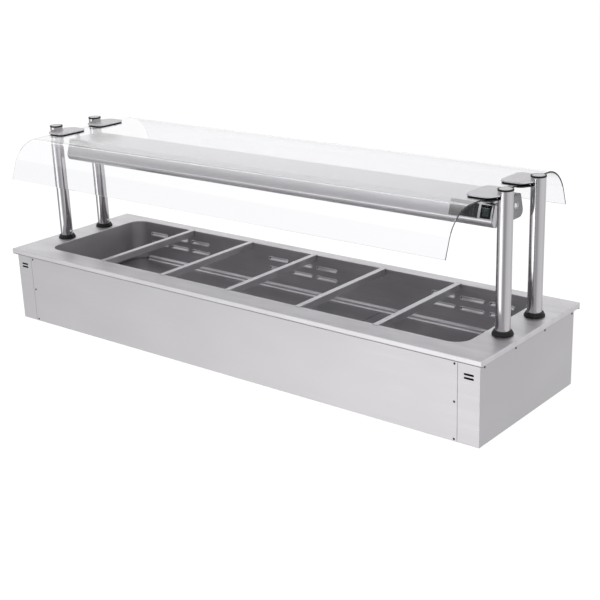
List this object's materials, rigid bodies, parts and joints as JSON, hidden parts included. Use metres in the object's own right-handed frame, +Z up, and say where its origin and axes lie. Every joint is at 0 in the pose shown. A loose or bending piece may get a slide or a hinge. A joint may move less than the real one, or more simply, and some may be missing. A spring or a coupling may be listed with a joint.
{
  "type": "drop-in bain marie",
  "caption": "Drop-in ventilated dry bain marie: a deck flange with a divided deep well, under a heat-lamp gantry and curved glass canopy on posts.",
  "frame": {"origin": "underside of the casing, half way along the counter, in the plane that holds the gantry's posts and lamp half way between them", "axes": "+X along the counter towards the controls, +Y from the front to the back, +Z up"},
  "size_m": [2.23, 0.7738, 0.7785],
  "materials": {
    "deck_steel": "brushed along the counter",
    "casing_steel": "fine brushed",
    "tank_steel": "dull rolled",
    "bar_steel": "brushed along the bar",
    "post_steel": "satin polished tube",
    "plate_steel": "satin",
    "lamp_steel": "satin",
    "cap_grey": "satin",
    "bright_bolt": "polished",
    "zinc": "zinc plated",
    "black_plastic": "moulded, fine texture",
    "black_rubber": "smooth",
    "clear_glass": "clear toughened",
    "reflector_aluminium": "bright rolled",
    "quartz": "clear quartz",
    "ceramic": "matt steatite",
    "wool": "mineral wool",
    "galvanised": "galvanised",
    "heater_sheath": "heat tinted",
    "motor_grey": "enamelled",
    "display_black": "gloss window",
    "key_grey": "moulded",
    "rocker_green": "translucent moulded"
  },
  "bodies": {
    "cabinet": {"deck_flange": "deck_steel", "well_tank": "tank_steel", "top_frame": "galvanised", "front_panel": "casing_steel", "rear_panel": "casing_steel", "left_side_panel": "casing_steel", "right_side_panel": "casing_steel", "base_plate": "casing_steel", "seam_uprights": "galvanised", "panel_screws": "zinc", "well_insulation": "wool", "air_duct": "galvanised", "floor_plates": "tank_steel", "fan_housings": "galvanised", "fan_motors": "motor_grey", "air_heaters": "heater_sheath", "terminal_box": "galvanised", "cable_gland": "black_plastic", "post_front_left": "post_steel", "post_front_right": "post_steel", "post_rear_left": "post_steel", "post_rear_right": "post_steel", "post_collars": "black_plastic", "post_set_screws": "black_plastic", "post_caps": "black_plastic", "post_foot_plugs": "zinc", "under_deck_plates": "galvanised", "post_bolts": "zinc", "clamp_plate_front_left": "plate_steel", "clamp_plate_front_right": "plate_steel", "clamp_plate_rear_left": "plate_steel", "clamp_plate_rear_right": "plate_steel", "clamp_gaskets": "black_rubber", "clamp_pads": "black_rubber", "clamp_nuts": "zinc", "glass_canopy": "clear_glass", "lamp_housing": "lamp_steel", "lamp_end_caps": "cap_grey", "end_cap_bolts": "bright_bolt", "lamp_reflector": "reflector_aluminium", "quartz_lamps": "quartz", "lamp_holders": "ceramic", "hanger_spacers": "post_steel", "lamp_guard": "lamp_steel", "controller_body": "black_plastic", "controller_display": "display_black", "switch_body": "black_plastic"},
    "divider_bar_1": {"divider_bar_1": "bar_steel"},
    "divider_bar_2": {"divider_bar_2": "bar_steel"},
    "divider_bar_3": {"divider_bar_3": "bar_steel"},
    "divider_bar_4": {"divider_bar_4": "bar_steel"},
    "divider_bar_5": {"divider_bar_5": "bar_steel"},
    "impeller_1": {"fan_impeller_1": "reflector_aluminium"},
    "impeller_2": {"fan_impeller_2": "reflector_aluminium"},
    "impeller_3": {"fan_impeller_3": "reflector_aluminium"},
    "key_1": {"controller_key_1": "key_grey"},
    "key_2": {"controller_key_2": "key_grey"},
    "key_3": {"controller_key_3": "key_grey"},
    "key_4": {"controller_key_4": "key_grey"},
    "rocker": {"power_rocker": "rocker_green"}
  },
  "joints": [
    {"name": "bar_1_lift", "type": "slide", "parent": "cabinet", "child": "divider_bar_1", "axis": [0, 0, 1], "range_m": [0, 0.25]},
    {"name": "bar_2_lift", "type": "slide", "parent": "cabinet", "child": "divider_bar_2", "axis": [0, 0, 1], "range_m": [0, 0.25]},
    {"name": "bar_3_lift", "type": "slide", "parent": "cabinet", "child": "divider_bar_3", "axis": [0, 0, 1], "range_m": [0, 0.25]},
    {"name": "bar_4_lift", "type": "slide", "parent": "cabinet", "child": "divider_bar_4", "axis": [0, 0, 1], "range_m": [0, 0.25]},
    {"name": "bar_5_lift", "type": "slide", "parent": "cabinet", "child": "divider_bar_5", "axis": [0, 0, 1], "range_m": [0, 0.25]},
    {"name": "fan_1_spin", "type": "hinge", "parent": "cabinet", "child": "impeller_1", "pos_m": [-0.66, 0, 0.05], "axis": [0, 0, 1], "continuous": true},
    {"name": "fan_2_spin", "type": "hinge", "parent": "cabinet", "child": "impeller_2", "pos_m": [0, 0, 0.05], "axis": [0, 0, 1], "continuous": true},
    {"name": "fan_3_spin", "type": "hinge", "parent": "cabinet", "child": "impeller_3", "pos_m": [0.66, 0, 0.05], "axis": [0, 0, 1], "continuous": true},
    {"name": "key_1_press", "type": "slide", "parent": "cabinet", "child": "key_1", "axis": [0, 0.9595, -0.2818], "range_m": [0, 0.0008], "stiffness_N_per_m": 400},
    {"name": "key_2_press", "type": "slide", "parent": "cabinet", "child": "key_2", "axis": [0, 0.9595, -0.2818], "range_m": [0, 0.0008], "stiffness_N_per_m": 400},
    {"name": "key_3_press", "type": "slide", "parent": "cabinet", "child": "key_3", "axis": [0, 0.9595, -0.2818], "range_m": [0, 0.0008], "stiffness_N_per_m": 400},
    {"name": "key_4_press", "type": "slide", "parent": "cabinet", "child": "key_4", "axis": [0, 0.9595, -0.2818], "range_m": [0, 0.0008], "stiffness_N_per_m": 400},
    {"name": "power_rocker_tilt", "type": "hinge", "parent": "cabinet", "child": "rocker", "pos_m": [0.971, -0.08831, 0.68844], "axis": [1, 0, 0], "range_deg": [-14, 0]}
  ]
}
